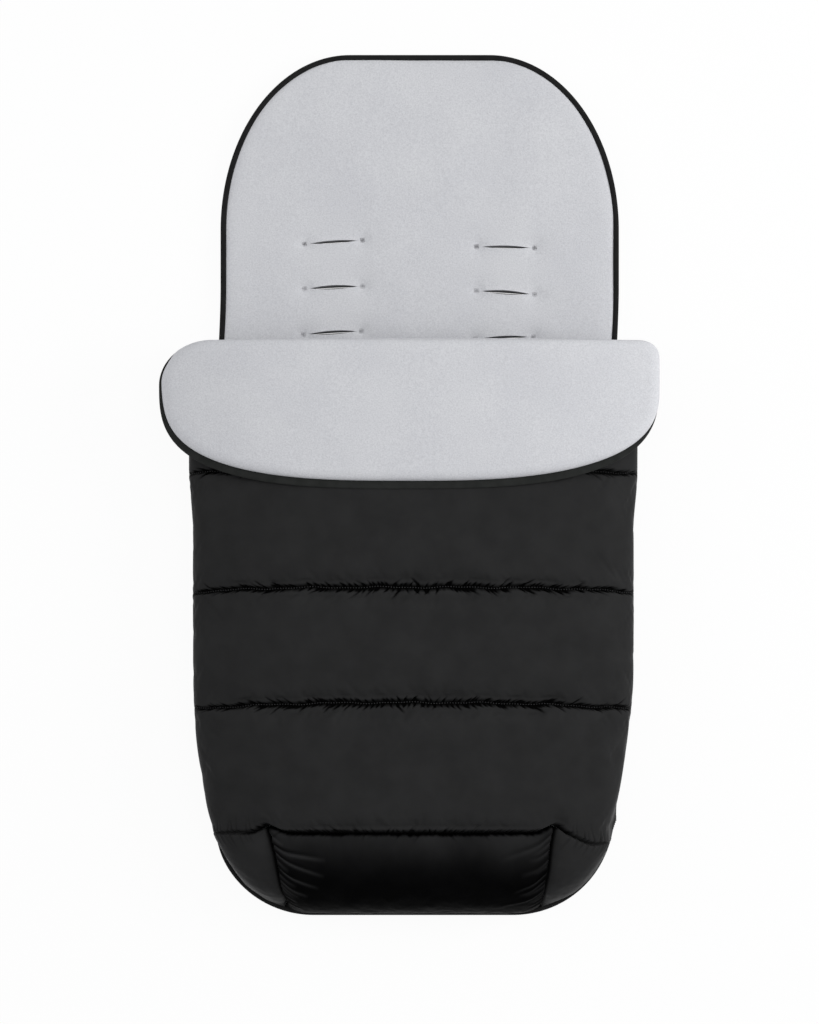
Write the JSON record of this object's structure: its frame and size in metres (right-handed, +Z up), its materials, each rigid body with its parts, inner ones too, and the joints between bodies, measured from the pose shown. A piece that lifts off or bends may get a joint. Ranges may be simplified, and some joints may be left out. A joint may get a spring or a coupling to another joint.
{
  "type": "stroller footmuff",
  "caption": "Padded sleeping-bag footmuff for a stroller seat: back panel with harness slots, quilted zip-off cover with a rounded foot box and a folded fleece collar flap.",
  "frame": {"origin": "middle of the footprint on the surface that the footmuff lies on, on its back", "axes": "+Y towards the head end, +Z up out of the lining, +X to the right seen from above with the head end away"},
  "size_m": [0.531, 0.95, 0.1283],
  "materials": {
    "shell": "soft black polyester with a faint sheen",
    "fleece": "short light grey fleece pile",
    "wadding": "white polyester wadding, hidden inside",
    "binding": "black woven edge binding",
    "grip": "matt anti-slip rubberised fabric",
    "zip_tape": "black woven tape with a plastic coil",
    "zip_metal": "black lacquered zinc"
  },
  "bodies": {
    "back": {"head_grip_panel": "grip", "seat_grip_panel": "grip", "back_shell": "shell", "back_wadding": "wadding", "back_lining": "fleece", "back_binding": "binding", "foot_panel": "shell", "right_foot_corner": "shell", "left_foot_corner": "shell", "foot_wadding": "wadding", "foot_lining": "fleece", "right_back_zip_tape": "zip_tape", "left_back_zip_tape": "zip_tape", "right_zip_stop": "zip_metal", "left_zip_stop": "zip_metal"},
    "cover": {"cover_shell": "shell", "shin_wadding": "wadding", "knee_wadding": "wadding", "thigh_wadding": "wadding", "chest_wadding": "wadding", "cover_lining": "fleece", "right_cover_zip_tape": "zip_tape", "left_cover_zip_tape": "zip_tape"},
    "flap": {"flap_shell": "shell", "flap_wadding": "wadding", "flap_lining": "fleece", "flap_binding": "binding"},
    "right_slider": {"right_zip_slider": "zip_metal"},
    "left_slider": {"left_zip_slider": "zip_metal"},
    "right_puller": {"right_zip_puller": "zip_metal"},
    "left_puller": {"left_zip_puller": "zip_metal"}
  },
  "joints": [
    {"name": "cover_open", "type": "hinge", "parent": "back", "child": "cover", "pos_m": [0, -0.3693, 0.1051], "axis": [1, 0, 0], "range_deg": [0, 130]},
    {"name": "flap_fold", "type": "hinge", "parent": "cover", "child": "flap", "pos_m": [0, 0.1545, 0.11515], "axis": [-1, 0, 0], "range_deg": [0, 178]},
    {"name": "right_slider_travel", "type": "slide", "parent": "back", "child": "right_slider", "axis": [0, 1, 0], "range_m": [-0.5, 0]},
    {"name": "left_slider_travel", "type": "slide", "parent": "back", "child": "left_slider", "axis": [0, 1, 0], "range_m": [-0.5, 0]},
    {"name": "right_puller_swing", "type": "hinge", "parent": "right_slider", "child": "right_puller", "pos_m": [0.2224, 0.1455, 0.0259], "axis": [0, 0, 1], "range_deg": [0, 160]},
    {"name": "left_puller_swing", "type": "hinge", "parent": "left_slider", "child": "left_puller", "pos_m": [-0.2224, 0.1455, 0.0259], "axis": [0, 0, -1], "range_deg": [0, 160]}
  ]
}
